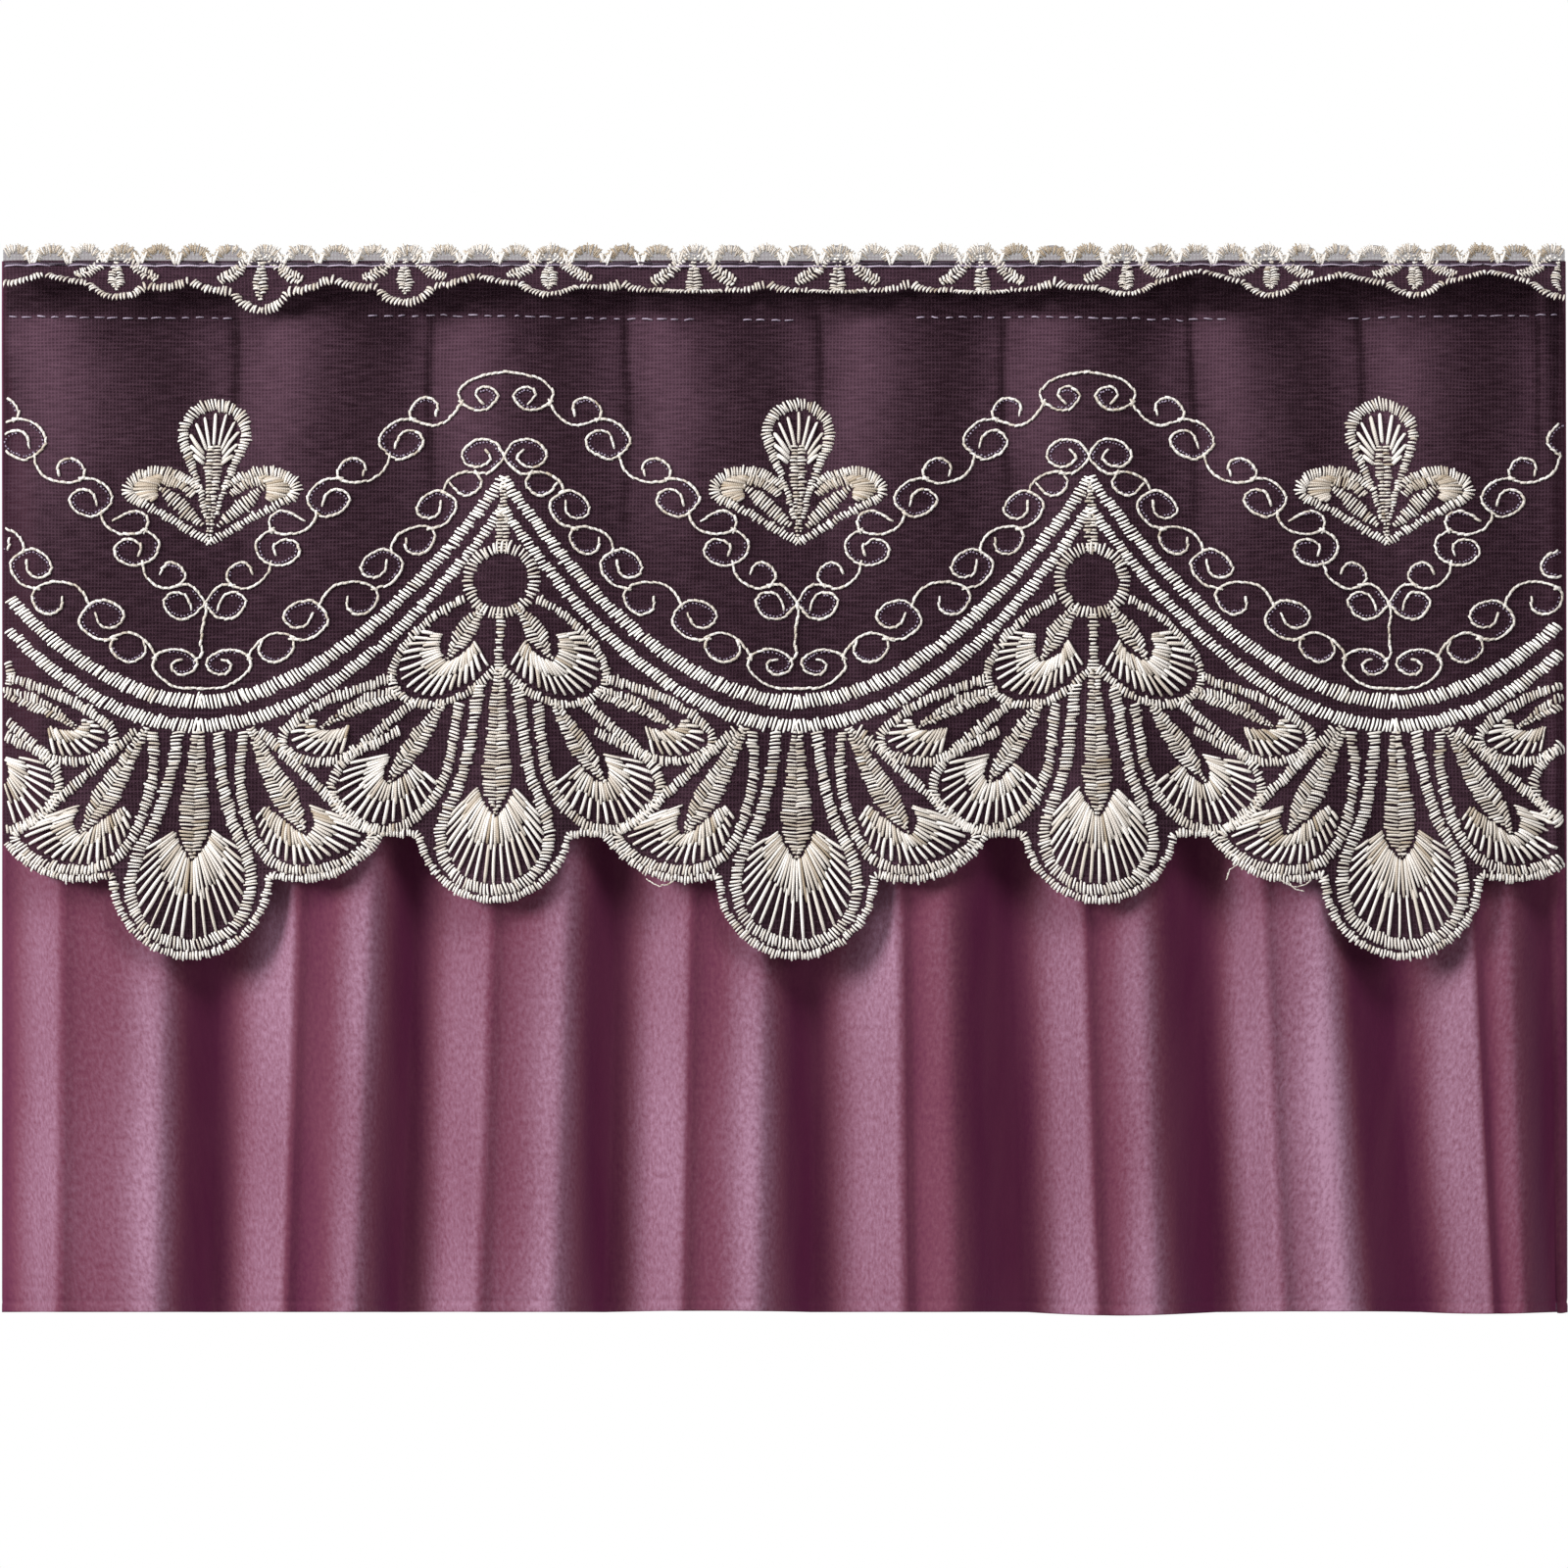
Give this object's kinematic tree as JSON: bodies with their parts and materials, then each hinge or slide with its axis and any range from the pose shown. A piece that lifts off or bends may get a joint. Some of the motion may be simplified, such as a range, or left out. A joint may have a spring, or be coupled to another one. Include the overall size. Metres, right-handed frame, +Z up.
{
  "type": "window valance",
  "caption": "Short gathered window valance: folded plush skirt, scalloped embroidered net overlay and a narrow scalloped frill along its heading.",
  "frame": {"origin": "middle of the top edge, on the upright plane that the back of the cloth hangs against", "axes": "+X along the top edge to the right as seen from the room, +Y back towards the window, +Z up"},
  "size_m": [0.5266, 0.0252, 0.3591],
  "materials": {
    "plush": "short-pile plush with a soft sheen on its folds",
    "net": "fine sheer net, matt",
    "edging": "sheer net with raised satin stitch"
  },
  "bodies": {
    "root": {"skirt": "plush", "overlay": "net", "frill": "edging"}
  },
  "joints": []
}
